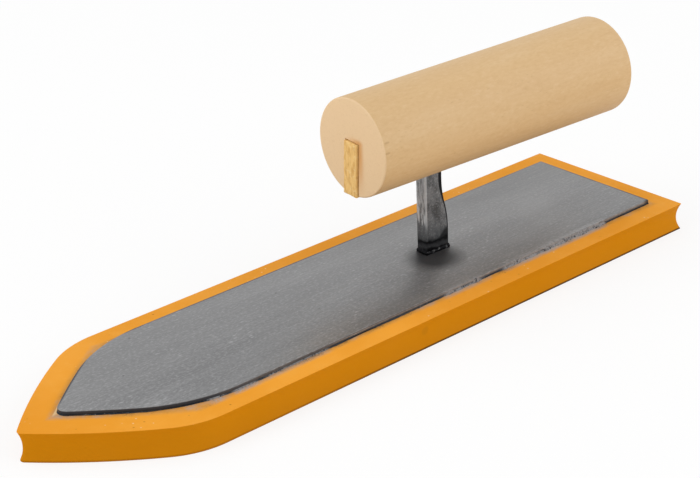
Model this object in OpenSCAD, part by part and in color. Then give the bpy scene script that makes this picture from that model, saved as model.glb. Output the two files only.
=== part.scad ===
// Rubber-faced finishing trowel: a pointed rubber pad bonded under a thin steel plate,
// with a forged neck welded to the plate and a round wooden handle slotted over its tang.
// The sole lies on z = 0, the pad is centred on the origin and its tip points along -X.

/* [Rubber pad] */
// Length of the pad, tip to back edge
pad_l = 260; // [200:1:340]
// Width of the pad
pad_w = 70; // [60:1:100]
// Thickness of the pad
pad_t = 10; // [6:0.5:20]
// Length of the pointed nose, tip to the start of the shoulders
pad_nose = 50; // [46:1:70]
// Radius of the shoulders between the straight sides and the nose
pad_shoulder_r = 30; // [20:1:50]
// Radius of the slightly bowed nose edges
pad_nose_r = 195; // [160:5:500]
// Radius that takes the point off the tip
pad_tip_r = 1.8; // [1:0.1:4]
// Depth of the hollow that runs round the edge of the pad
cove_d = 1.3; // [0.5:0.1:2]

/* [Backing plate and bond] */
// Width of the steel plate
plate_w = 53; // [40:1:58]
// Thickness of the steel plate
plate_t = 1.2; // [0.8:0.1:3]
// Bare rubber between the plate and the back edge of the pad
plate_back_margin = 8.5; // [5:0.5:20]
// Bare rubber between the tips of the plate and the pad
plate_tip_margin = 14.7; // [8:0.1:25]
// Length of the plate's nose
plate_nose = 48; // [44:1:60]
// Radius of the plate's shoulders
plate_shoulder_r = 50; // [30:1:80]
// Radius of the plate's nose edges
plate_nose_r = 300; // [180:5:500]
// Radius of the plate's tip
plate_tip_r = 3.2; // [1:0.1:4]
// Thickness of the adhesive film between rubber and steel
bond_t = 0.4; // [0.2:0.1:1]
// How far the adhesive shows past the edge of the plate
bond_spread = 0.6; // [0.2:0.1:2]

/* [Neck and weld] */
// Distance of the neck's front face from the pad's back edge
neck_setback = 96.3; // [86:0.1:106]
// Thickness of the neck across the trowel
neck_w = 5; // [4:0.1:6]
// Length of the neck at its foot
neck_foot_l = 10; // [9:0.1:14]
// Length of the neck where it goes into the handle
neck_top_l = 7.4; // [5:0.1:8]
// Height of the straight foot, before the neck starts to slim
neck_foot_h = 7.5; // [5:0.5:12]
// Height over which the neck slims from foot to top
neck_flare_h = 19; // [10:0.5:20]
// Width of the weld's foot and its height on the neck
weld_leg = 0.5; // [0.3:0.1:3]
// Turn of the neck and handle from the pad's long axis, in degrees
grip_turn = -2.3; // [-4:0.1:4]

/* [Handle] */
// Diameter of the handle at its front end
handle_front_d = 34; // [32:0.5:42]
// Diameter of the handle at its back end
handle_back_d = 35; // [32:0.5:42]
// Length of the handle
handle_l = 114; // [100:1:130]
// How far the handle's front end lies ahead of the neck's front face
handle_reach = 29; // [20:1:40]
// Height of the handle's axis over the sole
handle_z = 59; // [54:0.5:70]
// Rounding of the handle's two rims
handle_rim_r = 0.6; // [0.3:0.1:3]

/* [Tang and slot] */
// Width of the tang that lies in the handle
tang_w = 6.8; // [6.2:0.1:8]
// Height of the tang's long arm
tang_h = 7; // [5:0.5:10]
// Length of the tang's arm behind the neck
tang_l = 48; // [30:1:60]
// Height of the slot's roof over the handle's axis
slot_rise = 2.3; // [1:0.1:8]
// Clearance on each side of the tang in the wood
tang_gap = 0.1; // [0.05:0.05:0.3]
// Clearance on each side of the filler strip in its slot
strip_gap = 0.05; // [0.05:0.05:0.2]
// How far the filler strip stands out of the handle's front end
strip_proud = 0.7; // [0:0.1:2]

/* [Hidden] */
$fn = 96;
// Overshoot of cuts, and steps along arcs, round the tip, up the hollow edge and round the rims
eps = 1;
arc_steps = 8;
tip_steps = 3;
cove_steps = 8;
rim_steps = 5;

pad_front = -pad_l / 2;
// Radius of the hollow edge, from its depth and the pad's thickness
cove_r = (pow(pad_t / 2, 2) + pow(cove_d, 2)) / (2 * cove_d);
cove_out = cove_r - cove_d;

plate_l = pad_l - plate_back_margin - plate_tip_margin;
plate_front = pad_front + plate_tip_margin;
plate_z = pad_t + bond_t;
plate_top = plate_z + plate_t;

neck_x = pad_l / 2 - neck_setback;
neck_middle = neck_x + neck_foot_l / 2;

handle_x = neck_x - handle_reach;
handle_front_r = handle_front_d / 2;
handle_back_r = handle_back_d / 2;
handle_bottom = handle_z - handle_front_r;
slot_w = tang_w + 2 * tang_gap;
slot_roof = handle_z + slot_rise;
slot_end = neck_x + neck_top_l + tang_gap;
tang_top = slot_roof - tang_gap;
tang_end = neck_x + neck_top_l + tang_l;
// The tang starts this far inside the handle's underside
tang_inset = 1.5;

// Angles and centres of a nose: the shoulder arc runs into the nose arc, which runs into the tip.
// The tip lies at x = 0 and the nose opens along +X.
function shoulder_drop(w, sr) = w / 2 - sr;
function shoulder_turn(w, nose, sr, nr, tr) =
    let (n = nose - tr, d = nr - sr, e = shoulder_drop(w, sr), q = nr - tr)
    asin((q * q - d * d - n * n - e * e) / (2 * d * sqrt(n * n + e * e))) + atan2(e, n);
function nose_centre(w, nose, sr, nr, tr) =
    let (a = shoulder_turn(w, nose, sr, nr, tr), d = nr - sr)
    [nose + d * sin(a), shoulder_drop(w, sr) - d * cos(a)];
function tip_turn(w, nose, sr, nr, tr) =
    let (c = nose_centre(w, nose, sr, nr, tr))
    atan2(c[0] - tr, -c[1]);

// Points on an arc about a centre, from one angle to another, the first one left out.
function arc(c, r, from, to, steps) =
    [for (i = [1:steps]) let (t = from + (to - from) * i / steps) c + r * [cos(t), sin(t)]];

// One side of a pointed outline, from its back corner to its tip at x = 0, drawn in by an inset.
function half_outline(l, w, nose, sr, nr, tr, inset) =
    let (a1 = shoulder_turn(w, nose, sr, nr, tr),
         a2 = tip_turn(w, nose, sr, nr, tr),
         shoulder_c = [nose, shoulder_drop(w, sr)],
         nose_c = nose_centre(w, nose, sr, nr, tr))
    concat(
        [[l - inset, w / 2 - inset], [nose, w / 2 - inset]],
        arc(shoulder_c, sr - inset, 90, 90 + a1, arc_steps),
        arc(nose_c, nr - inset, 90 + a1, 90 + a2, arc_steps),
        arc([tr, 0], tr - inset, 90 + a2, 180, tip_steps));

// Whole pointed outline: the tip is shared, and the second side runs back from it.
function pointed_outline(l, w, nose, sr, nr, tr, inset) =
    let (side = half_outline(l, w, nose, sr, nr, tr, inset), n = len(side))
    concat(side, [for (i = [n - 2:-1:0]) [side[i][0], -side[i][1]]]);

// Outline of the pad, drawn in by the hollow of its edge at a height over the sole.
function cove_inset(z) = sqrt(pow(cove_r, 2) - pow(z - pad_t / 2, 2)) - cove_out;
function pad_ring(z) =
    [for (p = pointed_outline(pad_l, pad_w, pad_nose, pad_shoulder_r, pad_nose_r, pad_tip_r, cove_inset(z)))
        [p[0], p[1], z]];

module rubber_pad() {
    rings = [for (i = [0:cove_steps]) pad_ring(pad_t * i / cove_steps)];
    n = len(rings[0]);
    sole = [for (j = [0:n - 1]) j];
    top = [for (j = [n - 1:-1:0]) cove_steps * n + j];
    wall = [for (i = [0:cove_steps - 1], j = [0:n - 1]) let (k = (j + 1) % n)
        each [[i * n + j, (i + 1) * n + j, (i + 1) * n + k], [i * n + j, (i + 1) * n + k, i * n + k]]];
    color("#e39a2c")
        translate([pad_front, 0, 0])
            polyhedron(points = [for (ring = rings) each ring], faces = concat([sole, top], wall));
}

// Flat sheet with the plate's outline, grown by a margin all round.
module plate_sheet(grow, z, t) {
    translate([plate_front, 0, z])
        linear_extrude(t)
            polygon(pointed_outline(plate_l, plate_w, plate_nose, plate_shoulder_r, plate_nose_r,
                plate_tip_r, -grow));
}

module bond_layer() {
    color("#4a3a22") plate_sheet(bond_spread, pad_t, bond_t);
}

module backing_plate() {
    color("#8a8c8e") plate_sheet(0, plate_z, plate_t);
}

// Turns the neck and all that sits on it about the middle of the neck's foot.
module turned() {
    translate([neck_middle, 0, 0]) rotate([0, 0, grip_turn]) translate([-neck_middle, 0, 0]) children();
}

// Side profile of the neck below the tang: straight front, back edge slimming in an S from foot to top.
module neck_profile() {
    slim = neck_foot_l - neck_top_l;
    half = neck_flare_h / 2;
    bend_r = (pow(neck_flare_h, 2) + pow(slim, 2)) / (4 * slim);
    square([neck_top_l, tang_top - plate_top]);
    square([neck_foot_l, neck_foot_h]);
    translate([0, neck_foot_h]) {
        intersection() {
            square([neck_foot_l, half]);
            translate([neck_foot_l - bend_r, 0]) circle(r = bend_r);
        }
        difference() {
            translate([0, half]) square([neck_top_l + slim / 2, half]);
            translate([neck_top_l + bend_r, neck_flare_h]) circle(r = bend_r);
        }
    }
}

module neck() {
    tang_z = handle_bottom + tang_inset;
    color("#5d5f62") turned() {
        translate([neck_x, neck_w / 2, plate_top])
            rotate([90, 0, 0]) linear_extrude(neck_w) neck_profile();
        translate([neck_x, -tang_w / 2, tang_z])
            cube([neck_top_l, tang_w, tang_top - tang_z]);
        translate([neck_x, -tang_w / 2, tang_top - tang_h])
            cube([neck_top_l + tang_l, tang_w, tang_h]);
    }
}

// Weld fillet along one straight side of the foot, laid along +X from the origin.
module weld_run(l) {
    rotate([90, 0, 90]) linear_extrude(l) polygon([[0, 0], [weld_leg, 0], [0, weld_leg]]);
}

// Weld fillet round one corner of the foot, filling the quarter from +X to +Y.
module weld_corner() {
    rotate_extrude(angle = 90) polygon([[0, 0], [weld_leg, 0], [0, weld_leg]]);
}

module weld_bead() {
    color("#2b2b2d") turned()
        translate([neck_middle, 0, plate_top])
            for (turn = [0, 180])
                rotate([0, 0, turn]) {
                    translate([-neck_foot_l / 2, neck_w / 2, 0]) weld_run(neck_foot_l);
                    translate([neck_foot_l / 2, neck_w / 2, 0]) rotate([0, 0, -90]) weld_run(neck_w);
                    translate([neck_foot_l / 2, neck_w / 2, 0]) weld_corner();
                    translate([neck_foot_l / 2, -neck_w / 2, 0]) rotate([0, 0, -90]) weld_corner();
                }
}

// Half section of the turned handle, with both rims rounded; its axis is the Y axis.
module handle_section() {
    front_c = [handle_front_r - handle_rim_r, handle_rim_r];
    back_c = [handle_back_r - handle_rim_r, handle_l - handle_rim_r];
    polygon(concat(
        [[0, 0], [front_c[0], 0]],
        arc(front_c, handle_rim_r, -90, 0, rim_steps),
        [[handle_back_r, back_c[1]]],
        arc(back_c, handle_rim_r, 0, 90, rim_steps),
        [[0, handle_l]]));
}

module handle() {
    mortise_h = tang_h + 2 * tang_gap;
    cut_z = handle_z - max(handle_front_r, handle_back_r) - eps;
    color("#d8b682") turned()
        difference() {
            translate([handle_x, 0, handle_z])
                rotate([0, 90, 0]) rotate_extrude() handle_section();
            translate([handle_x - eps, -slot_w / 2, cut_z])
                cube([slot_end - handle_x + eps, slot_w, slot_roof - cut_z]);
            translate([slot_end - eps, -slot_w / 2, slot_roof - mortise_h])
                cube([tang_end + tang_gap - slot_end + eps, slot_w, mortise_h]);
        }
}

module slot_filler() {
    strip_w = slot_w - 2 * strip_gap;
    strip_front = handle_x - strip_proud;
    color("#e0b565") turned()
        translate([strip_front, -strip_w / 2, handle_bottom])
            cube([neck_x - strip_gap - strip_front, strip_w, slot_roof - strip_gap - handle_bottom]);
}

rubber_pad();
bond_layer();
backing_plate();
neck();
weld_bead();
handle();
slot_filler();
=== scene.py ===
"""Looks of a rubber-faced finishing trowel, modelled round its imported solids.

The pad, bond, plate, neck, weld, handle and filler strip are each modelled as one piece at the
place of its solid, dressed in a procedural finish, and lit on a plain pale floor.
"""

import logging
import math
from dataclasses import dataclass, field
from enum import Enum
from typing import Any, Callable

import bmesh
import bpy
from mathutils import Matrix, Vector, noise


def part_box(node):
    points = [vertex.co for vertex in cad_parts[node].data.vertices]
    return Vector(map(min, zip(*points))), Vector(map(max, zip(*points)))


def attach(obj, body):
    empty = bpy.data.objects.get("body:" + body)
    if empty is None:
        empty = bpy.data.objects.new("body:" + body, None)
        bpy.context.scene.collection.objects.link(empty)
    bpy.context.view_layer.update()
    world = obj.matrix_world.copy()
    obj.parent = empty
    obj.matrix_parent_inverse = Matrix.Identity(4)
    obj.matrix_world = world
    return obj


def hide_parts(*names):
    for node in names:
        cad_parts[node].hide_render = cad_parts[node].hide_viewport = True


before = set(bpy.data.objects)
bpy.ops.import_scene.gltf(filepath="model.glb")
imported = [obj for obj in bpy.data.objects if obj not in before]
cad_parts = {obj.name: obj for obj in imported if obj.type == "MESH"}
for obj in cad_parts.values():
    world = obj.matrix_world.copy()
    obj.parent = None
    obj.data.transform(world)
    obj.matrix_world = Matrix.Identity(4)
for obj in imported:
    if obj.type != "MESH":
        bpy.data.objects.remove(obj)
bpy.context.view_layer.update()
MM = 0.001
MERGE_GAP = 0.002 * MM
SEAM_GAP = 0.01 * MM
LOG = logging.getLogger("trowel")
Colour = tuple[float, float, float]
Span = tuple[float, float]
Piece = bpy.types.Object
Material = bpy.types.Material


class Axis(Enum):
    """Directions that pieces are swept, turned and cut along."""

    X = (1.0, 0.0, 0.0)
    Y = (0.0, 1.0, 0.0)
    Z = (0.0, 0.0, 1.0)

    def by(self, length: float) -> Vector:
        """A vector of a length along the axis."""
        return Vector(self.value) * length


def math_method(operation: str, swapped: bool = False) -> Callable[..., "Sock"]:
    """Makes an operator that adds one Math node.

    Args:
        operation: The node's operation.
        swapped: Whether the other value stands on the left.

    Returns:
        The method.
    """

    def method(self: "Sock", other: "Sock | float" = 0.0) -> "Sock":
        """Adds the node to the socket's graph."""
        left, right = (other, self) if swapped else (self, other)
        return self.graph.math(operation, left, right)

    return method


class Sock:
    """A shader socket that takes part in Python expressions; each operator adds a Math node."""

    __add__, __radd__ = math_method("ADD"), math_method("ADD", True)
    __sub__, __rsub__ = math_method("SUBTRACT"), math_method("SUBTRACT", True)
    __mul__, __rmul__ = math_method("MULTIPLY"), math_method("MULTIPLY", True)
    __truediv__, __rtruediv__ = math_method("DIVIDE"), math_method("DIVIDE", True)
    __pow__, __abs__ = math_method("POWER"), math_method("ABSOLUTE")
    most, least = math_method("MAXIMUM"), math_method("MINIMUM")

    def __init__(self, graph: "Graph", socket: bpy.types.NodeSocket) -> None:
        """Keeps the socket and the graph that it belongs to."""
        self.graph = graph
        self.socket = socket

    def ramp(self, low: float, high: float) -> "Sock":
        """Smooth step from 0 at low to 1 at high; low may lie above high.

        Args:
            low: Value at which the step is 0.
            high: Value at which the step is 1.

        Returns:
            The stepped value.
        """
        settings = {"interpolation_type": "SMOOTHSTEP"}
        if low < high:
            links = {"Value": self, "From Min": low, "From Max": high}
            return self.graph.node("ShaderNodeMapRange", settings, links).out("Result")
        return 1.0 - self.ramp(high, low)


class Made:
    """A node that was just made, for picking its outputs."""

    def __init__(self, graph: "Graph", node: bpy.types.Node) -> None:
        """Keeps the node and its graph."""
        self.graph = graph
        self.node = node

    def out(self, name: str | int = 0) -> Sock:
        """One output of the node, by name or place."""
        return Sock(self.graph, self.node.outputs[name])


@dataclass(frozen=True)
class Turn:
    """A turn about a vertical axis, for the neck and all that sits on it."""

    pivot: Vector
    angle: float

    def apply(self, piece: Piece) -> None:
        """Turns a piece that was modelled straight along X."""
        rotate(piece, Axis.Z, -self.angle, self.pivot)

    def undone(self, graph: "Graph") -> Sock:
        """The place as it was before the turn, as a shader value.

        Args:
            graph: The material's graph.

        Returns:
            The place in the straight frame.
        """
        back = Matrix.Rotation(-self.angle, 3, "Z")
        links = {"Vector": graph.place, "Location": self.pivot - back @ self.pivot,
                 "Rotation": Axis.Z.by(-self.angle)}
        return graph.node("ShaderNodeMapping", None, links).out()


class Graph:
    """Node tree of one material or of the world, with the shader that it feeds."""

    def __init__(self, name: str, turn: Turn | None = None, for_world: bool = False) -> None:
        """Makes a material or a world that holds its shader alone.

        Args:
            name: Name of the material or world.
            turn: Turn of the piece, which the finish follows.
            for_world: Whether the graph is the world's.
        """
        self.owner = (bpy.data.worlds if for_world else bpy.data.materials).new(name)
        self.owner.use_nodes = True
        self.tree = self.owner.node_tree
        self.shader = self.tree.nodes["Background" if for_world else "Principled BSDF"]
        self.place = self.node("ShaderNodeTexCoord").out("Object")
        if turn:
            self.place = turn.undone(self)

    def node(self, kind: str, settings: dict[str, Any] | None = None,
             links: dict[str | int, Any] | None = None) -> Made:
        """Adds a node.

        Args:
            kind: The node's type.
            settings: Properties to set first.
            links: Values or sockets for the node's inputs, by name or place.

        Returns:
            The node, for picking outputs.
        """
        node = self.tree.nodes.new(kind)
        for key, value in (settings or {}).items():
            setattr(node, key, value)
        for key, value in (links or {}).items():
            self.join(node.inputs[key], value)
        return Made(self, node)

    def join(self, target: bpy.types.NodeSocket, value: Any) -> None:
        """Links a socket or sets a plain value.

        Args:
            target: The input.
            value: A Sock, a number, a vector or a colour.
        """
        if isinstance(value, Sock):
            self.tree.links.new(value.socket, target)
        elif target.type == "RGBA" and len(value) == 3:
            target.default_value = (*value, 1.0)
        else:
            target.default_value = value

    def math(self, operation: str, left: Sock | float, right: Sock | float) -> Sock:
        """One Math node."""
        return self.node("ShaderNodeMath", {"operation": operation}, {0: left, 1: right}).out()

    def layers(self, base: Any, *coats: tuple[Sock, Any]) -> Sock:
        """Lays colours over one another.

        Args:
            base: The first colour, plain or linked.
            coats: Share and colour of each further coat, in order.

        Returns:
            The mixed colour.
        """
        settings = {"data_type": "RGBA", "clamp_factor": True}
        for share, tone in coats:
            base = self.node("ShaderNodeMix", settings, {0: share, 6: base, 7: tone}).out(2)
        return base

    def axes(self) -> tuple[Sock, Sock, Sock]:
        """The place's three coordinates, in metres."""
        split = self.node("ShaderNodeSeparateXYZ", None, {0: self.place})
        return split.out(0), split.out(1), split.out(2)

    def stretched(self, x: float, y: float, z: float) -> Sock:
        """The place with each axis scaled, for grain that runs one way."""
        return self.node("ShaderNodeMapping", None, {"Vector": self.place, "Scale": (x, y, z)}).out()

    def cloud(self, scale: float, detail: float = 3.0, rough: float = 0.5,
              where: Sock | None = None) -> Sock:
        """Noise about 0.5, with its features per metre or per unit of a stretched place."""
        links = {"Vector": where or self.place, "Scale": scale, "Detail": detail, "Roughness": rough}
        return self.node("ShaderNodeTexNoise", None, links).out(0)

    def grain(self, x: float, y: float, z: float, detail: float, rough: float) -> Sock:
        """Noise that runs one way, with its features per metre along each axis."""
        return self.cloud(1.0, detail, rough, self.stretched(x, y, z))

    def dots(self, scale: float, where: Sock | None = None) -> Sock:
        """Distance to the nearest of scattered points, in cell sizes."""
        links = {"Vector": where or self.place, "Scale": scale}
        return self.node("ShaderNodeTexVoronoi", None, links).out("Distance")

    def bump(self, height: Sock, depth: float) -> None:
        """Bumps the surface by a height field; a height of 1 stands for the depth, in metres."""
        links = {"Height": height, "Distance": depth, "Strength": 1.0}
        self.set(Normal=self.node("ShaderNodeBump", None, links).out())

    def set(self, **inputs: Any) -> None:
        """Sets the shader's inputs; underscores in a name stand for spaces."""
        for name, value in inputs.items():
            self.join(self.shader.inputs[name.replace("_", " ")], value)


def apart(first: Sock, second: Sock) -> Sock:
    """Length of a line with the given runs along two axes."""
    return (first ** 2.0 + second ** 2.0) ** 0.5


@dataclass(frozen=True)
class PointedOutline:
    """Plan of a sheet with straight sides, round shoulders, bowed nose edges and a blunt tip."""

    front: float
    back: float
    width: float
    nose: float
    shoulder_r: float
    nose_r: float
    tip_r: float

    @property
    def shoulder_centre(self) -> Vector:
        """Centre of the shoulder arc on the +Y side."""
        return Vector((self.front + self.nose, self.width / 2 - self.shoulder_r, 0.0))

    @property
    def shoulder_turn(self) -> float:
        """Angle that the shoulder arc turns through.

        Returns:
            The angle, in radians.
        """
        run = self.nose - self.tip_r
        drop = self.width / 2 - self.shoulder_r
        gap = self.nose_r - self.shoulder_r
        reach = self.nose_r - self.tip_r
        share = (reach**2 - gap**2 - run**2 - drop**2) / (2 * gap * math.hypot(run, drop))
        return math.asin(share) + math.atan2(drop, run)

    @property
    def nose_centre(self) -> Vector:
        """Centre of the nose arc of the +Y side.

        Returns:
            The centre, in plan.
        """
        gap = self.nose_r - self.shoulder_r
        turn = self.shoulder_turn
        return self.shoulder_centre + gap * Vector((math.sin(turn), -math.cos(turn), 0.0))

    @property
    def tip_centre(self) -> Vector:
        """Centre of the tip's rounding."""
        return Axis.X.by(self.front + self.tip_r)

    @property
    def tip_turn(self) -> float:
        """Angle of the edge where the nose arc meets the tip."""
        away = self.nose_centre - self.tip_centre
        return math.atan2(away.x, -away.y)

    def edge_distance(self, graph: Graph) -> Sock:
        """Distance outwards from the outline's edge, in metres, as a shader value.

        Args:
            graph: The material's graph.

        Returns:
            The distance, below 0 inside the outline.
        """
        x, y, _ = graph.axes()
        side = abs(y)
        centre = self.nose_centre
        from_nose = apart(x - centre.x, side - centre.y) - self.nose_r
        return (side - self.width / 2).most(from_nose).most(x - self.back)

    def outward(self, point: Vector) -> Vector:
        """Direction straight out from the nearest part of the outline.

        Args:
            point: A point on it, in plan.

        Returns:
            A unit vector in plan.
        """
        corner_lean = 0.7
        side = math.copysign(1.0, point.y)
        if point.x > self.back - SEAM_GAP:
            at_corner = abs(point.y) > self.width / 2 - SEAM_GAP
            return Vector((1.0, corner_lean * side if at_corner else 0.0, 0.0)).normalized()
        if point.x > self.shoulder_centre.x:
            return Axis.Y.by(side)
        centre = self.nose_centre
        away = Vector((point.x - centre.x, abs(point.y) - centre.y, 0.0)).normalized()
        return Vector((away.x, away.y * side, 0.0))


@dataclass(frozen=True)
class Smears:
    """Where adhesive was wiped along the plate's near edge: stretches along X, each with its depth."""

    over_edge: tuple[tuple[float, float, float], ...] = (
        (18.0 * MM, 36.0 * MM, 0.5), (46.0 * MM, 64.0 * MM, 0.6), (64.0 * MM, 97.0 * MM, 1.0))
    on_rubber: tuple[tuple[float, float, float], ...] = (
        (-79.0 * MM, -74.0 * MM, 0.6), (-70.0 * MM, -62.0 * MM, 0.8), (-57.0 * MM, -33.0 * MM, 0.5))
    fade: float = 4.0 * MM
    near_y: Span = (1.0 * MM, -1.0 * MM)

    def depth(self, point: Vector) -> float:
        """How thickly the plate's edge is smeared at a point, from 0 to 1.

        Args:
            point: The point.

        Returns:
            The depth.
        """
        if point.y > 0.0:
            return 0.0
        shares = [share * min(1.0, max(0.0, min(point.x - low, high - point.x) / self.fade + 0.5))
                  for low, high, share in self.over_edge]
        return max(shares)

    def shade(self, graph: Graph, with_rubber: bool = False) -> Sock:
        """The same depth as a shader value.

        Args:
            graph: The material's graph.
            with_rubber: Whether the smears that lie on the rubber alone are added.

        Returns:
            The depth.
        """
        x, y, _ = graph.axes()
        total = y * 0.0
        half = self.fade / 2
        for low, high, share in self.over_edge + (self.on_rubber if with_rubber else ()):
            total = total.most(x.ramp(low - half, low + half) * x.ramp(high + half, high - half) * share)
        return total * y.ramp(*self.near_y)


def lumps(place: Vector, waves: tuple[Span, ...]) -> float:
    """Noise summed over waves, each given by its height and its number per metre."""
    return sum(height * noise.noise(place * rate) for height, rate in waves)


def activate(piece: Piece) -> None:
    """Selects one object alone and makes it active.

    Args:
        piece: The object.
    """
    bpy.ops.object.select_all(action="DESELECT")
    piece.select_set(True)
    bpy.context.view_layer.objects.active = piece


def settle() -> None:
    """Puts the active object's place, turn and scale into its mesh."""
    bpy.ops.object.transform_apply(location=True, rotation=True, scale=True)


def rotate(piece: Piece, axis: Axis, angle: float, centre: Vector) -> None:
    """Turns a piece's mesh.

    Args:
        piece: The piece.
        axis: Direction of the axis.
        angle: The turn in radians, against the right-hand rule.
        centre: A point on the axis.
    """
    activate(piece)
    bpy.ops.transform.rotate(value=angle, orient_axis=axis.name, center_override=centre)
    settle()


def modify(piece: Piece, kind: str, **settings: Any) -> None:
    """Adds a modifier and applies it.

    Args:
        piece: The object.
        kind: The modifier's type.
        settings: The modifier's properties.
    """
    activate(piece)
    modifier = piece.modifiers.new(kind.lower(), kind)
    for key, value in settings.items():
        setattr(modifier, key, value)
    bpy.ops.object.modifier_apply(modifier=modifier.name)


def round_edges(piece: Piece, radius: float, segments: int, above: float) -> None:
    """Rounds the edges of a piece that are sharper than an angle, given in degrees."""
    modify(piece, "BEVEL", width=radius, segments=segments, limit_method="ANGLE",
           angle_limit=math.radians(above))


def smooth_below(piece: Piece, degrees: float) -> Piece:
    """Shades a piece smooth across its flatter edges.

    Args:
        piece: The piece.
        degrees: Angle above which an edge stays sharp.

    Returns:
        The same piece.
    """
    activate(piece)
    bpy.ops.object.shade_smooth_by_angle(angle=math.radians(degrees))
    return piece


def block(name: str, low: Vector, high: Vector) -> Piece:
    """A box between two corners, as a start for cutting or joining.

    Args:
        name: Name of the object.
        low: Lowest corner.
        high: Highest corner.

    Returns:
        The box, with its place in its mesh.
    """
    bpy.ops.object.select_all(action="DESELECT")
    bpy.ops.mesh.primitive_cube_add(size=1.0, location=(low + high) / 2, scale=high - low)
    settle()
    made = bpy.context.object
    made.name = name
    made.data.name = name
    return made


def combine(piece: Piece, other: Piece, operation: str) -> None:
    """Joins or cuts one piece with another, by UNION or DIFFERENCE, and removes the other."""
    modify(piece, "BOOLEAN", object=other, operation=operation, solver="EXACT")
    bpy.data.objects.remove(other)


def hand_over(piece: Piece, node: str, material: Material) -> None:
    """Dresses a finished piece and lets it stand for its solid.

    Args:
        piece: The piece.
        node: The solid that it stands for.
        material: Its finish.
    """
    piece.data.materials.clear()
    piece.data.materials.append(material)
    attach(piece, "root")
    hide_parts(node)
    LOG.info("%s: %d faces", piece.name, len(piece.data.polygons))


class Desk:
    """One mesh shaped in edit mode, as by hand."""

    def __init__(self, piece: Piece) -> None:
        """Opens a piece in edit mode, with all of it selected.

        Args:
            piece: The piece.
        """
        self.piece = piece
        activate(piece)
        self.open()
        bpy.ops.mesh.select_mode(type="VERT")
        self.take_all()

    @classmethod
    def at_point(cls, name: str, start: Vector) -> "Desk":
        """Starts a mesh from a small plane merged to one point.

        Args:
            name: Name of the piece.
            start: The first point.

        Returns:
            The desk, with the point selected.
        """
        bpy.ops.object.select_all(action="DESELECT")
        bpy.ops.mesh.primitive_plane_add(size=MM, location=start)
        settle()
        piece = bpy.context.object
        piece.name = f"{name}_visual"
        piece.data.name = f"{name}_visual"
        desk = cls(piece)
        bpy.ops.mesh.merge(type="CENTER")
        return desk

    @staticmethod
    def open() -> None:
        """Goes into edit mode."""
        bpy.ops.object.mode_set(mode="EDIT")

    @staticmethod
    def leave() -> None:
        """Leaves edit mode."""
        bpy.ops.object.mode_set(mode="OBJECT")

    @staticmethod
    def take_all() -> None:
        """Selects the whole mesh."""
        bpy.ops.mesh.select_all(action="SELECT")

    @staticmethod
    def merge(gap: float) -> None:
        """Merges all points that lie closer than a gap, and leaves everything selected."""
        bpy.ops.mesh.select_all(action="SELECT")
        bpy.ops.mesh.remove_doubles(threshold=gap)

    def draw(self, by: Vector, steps: int = 1) -> None:
        """Draws a straight line on from the selected point, in equal edges."""
        for _ in range(steps):
            bpy.ops.mesh.extrude_vertices_move(TRANSFORM_OT_translate={"value": by / steps})

    def pull(self, by: Vector = Vector()) -> None:
        """Extrudes what is selected; with no vector the copy stays in place."""
        bpy.ops.mesh.extrude_region_move(TRANSFORM_OT_translate={"value": by})

    def flatten(self, axis: Axis, at: float) -> None:
        """Moves what is selected onto a plane across an axis, at a place along it."""
        scale = [0.0 if part else 1.0 for part in axis.value]
        bpy.ops.transform.resize(value=scale, center_override=axis.by(at))

    def sweep(self, centre: Vector, axis: Axis, angle: float, steps: int) -> None:
        """Spins what is selected about an axis through a centre, by the right-hand rule, in radians."""
        bpy.ops.mesh.spin(steps=steps, angle=-angle, center=centre, axis=axis.value)

    def pick(self, test: Callable[[Vector], bool]) -> None:
        """Selects the points that pass a test, with the edges and faces between them.

        Args:
            test: Says whether a point is taken.
        """
        bpy.ops.mesh.select_all(action="DESELECT")
        mesh = bmesh.from_edit_mesh(self.piece.data)
        for point in mesh.verts:
            point.select = test(point.co)
        mesh.select_flush(True)
        bmesh.update_edit_mesh(self.piece.data)

    def move(self, change: Callable[[Vector], Vector]) -> None:
        """Moves each selected point.

        Args:
            change: Gives a point's new place.
        """
        mesh = bmesh.from_edit_mesh(self.piece.data)
        for point in mesh.verts:
            if point.select:
                point.co = change(point.co.copy())
        bmesh.update_edit_mesh(self.piece.data)

    def face(self) -> None:
        """Fills a drawn outline with one face."""
        self.take_all()
        bpy.ops.mesh.edge_face_add()

    def mirror(self) -> None:
        """Adds the other half across the middle plane, and stays in edit mode."""
        self.leave()
        modify(self.piece, "MIRROR", use_axis=(False, True, False), merge_threshold=SEAM_GAP)
        self.open()

    def close(self) -> None:
        """Merges doubles, turns all faces outwards and leaves edit mode."""
        self.merge(MERGE_GAP)
        bpy.ops.mesh.normals_make_consistent(inside=False)
        self.leave()


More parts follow.
